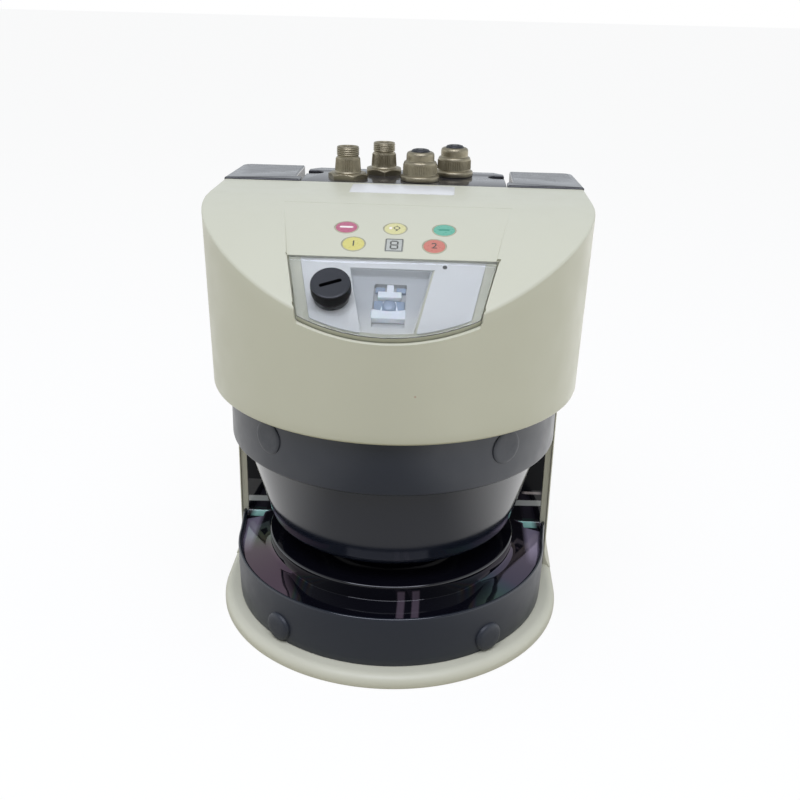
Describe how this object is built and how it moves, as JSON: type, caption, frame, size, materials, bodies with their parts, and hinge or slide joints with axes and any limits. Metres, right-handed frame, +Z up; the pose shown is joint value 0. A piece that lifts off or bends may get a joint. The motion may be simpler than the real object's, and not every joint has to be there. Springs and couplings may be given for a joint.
{
  "type": "safety laser scanner",
  "caption": "Compact safety laser scanner: a cream head over a dark half-round scan window, on a base and rear column, with connectors on top.",
  "frame": {"origin": "centre of the footprint, at the underside of the base", "axes": "+Z up through the head, -Y towards the front panel and the scan window, +X to the right as seen from the front"},
  "size_m": [0.14, 0.135, 0.1724],
  "materials": {
    "housing": "fine satin",
    "scan_window": "gloss, passes infrared",
    "black_plastic": "satin",
    "grey_plastic": "glossy dark grey",
    "rubber": "matt",
    "steel": "satin",
    "dark_steel": "blackened",
    "shaft_steel": "ground",
    "motor_steel": "satin",
    "nickel": "satin nickel",
    "brass": "turned",
    "gold_contacts": "gilt",
    "cast_metal": "as cast",
    "white_label": "satin",
    "clear_plastic": "clear, polished",
    "white_sheet": "satin",
    "white_diffuser": "translucent",
    "lens_glass": "coated",
    "mirror_glass": "polished",
    "lamp_red": "satin",
    "lamp_pale": "satin",
    "lamp_green": "satin",
    "lamp_amber": "satin",
    "lamp_orange": "satin",
    "display_grey": "satin",
    "circuit_board": "solder mask"
  },
  "bodies": {
    "housing": {"base_frame": "housing", "bottom_cover": "black_plastic", "bottom_screws": "steel", "mount_inserts": "brass", "optics_cover": "scan_window", "optics_seal": "rubber", "upper_plug_left": "black_plastic", "upper_plug_right": "black_plastic", "lower_plug_left": "black_plastic", "lower_plug_right": "black_plastic", "window_screws": "steel", "head_cover": "housing", "head_screws": "steel", "rear_cover": "grey_plastic", "connector_plate": "grey_plastic", "plate_screws": "dark_steel", "male_shell_1": "nickel", "male_shell_2": "nickel", "female_shell_1": "nickel", "female_shell_2": "nickel", "male_insert_1": "black_plastic", "male_insert_2": "black_plastic", "female_insert_1": "black_plastic", "female_insert_2": "black_plastic", "contact_pins": "gold_contacts", "lock_nuts": "nickel", "connector_seals": "rubber", "blank_label": "white_label", "panel_window": "clear_plastic", "panel_sheet": "white_sheet", "sensor_tray": "white_sheet", "sensor_lens": "lens_glass", "light_bars": "white_diffuser", "service_socket": "black_plastic", "lamp_red": "lamp_red", "lamp_pale": "lamp_pale", "lamp_green": "lamp_green", "lamp_amber": "lamp_amber", "lamp_orange": "lamp_orange", "display_window": "display_grey", "display_board": "circuit_board", "chassis_plate": "cast_metal", "board_pillars": "steel", "main_board": "circuit_board", "board_screws": "steel", "power_board": "circuit_board", "optics_barrel": "black_plastic", "receiver_lens": "lens_glass", "receiver_board": "circuit_board", "laser_module": "nickel", "fold_mirror": "mirror_glass", "encoder_sensor": "black_plastic", "motor": "motor_steel", "motor_bearings": "shaft_steel"},
    "rotor": {"rotor_shaft": "shaft_steel", "encoder_disc": "dark_steel", "mirror_carrier": "black_plastic", "deflection_mirror": "mirror_glass"},
    "cap_ring": {"cap_seal": "rubber"},
    "cap": {"service_cap": "black_plastic"}
  },
  "joints": [
    {"name": "mirror_spin", "type": "hinge", "parent": "housing", "child": "rotor", "pos_m": [0, 0, 0.056], "axis": [0, 0, 1], "continuous": true},
    {"name": "cap_lift", "type": "slide", "parent": "housing", "child": "cap_ring", "axis": [0, -0.5736, 0.8192], "range_m": [0, 0.00375]},
    {"name": "cap_turn", "type": "hinge", "parent": "cap_ring", "child": "cap", "pos_m": [-0.018, -0.05234, 0.14029], "axis": [0, -0.5736, 0.8192], "range_deg": [0, 901]}
  ],
  "couplings": [
    {"joint": "cap_turn", "follows": "cap_lift", "rad_per_m": 4188.8}
  ]
}
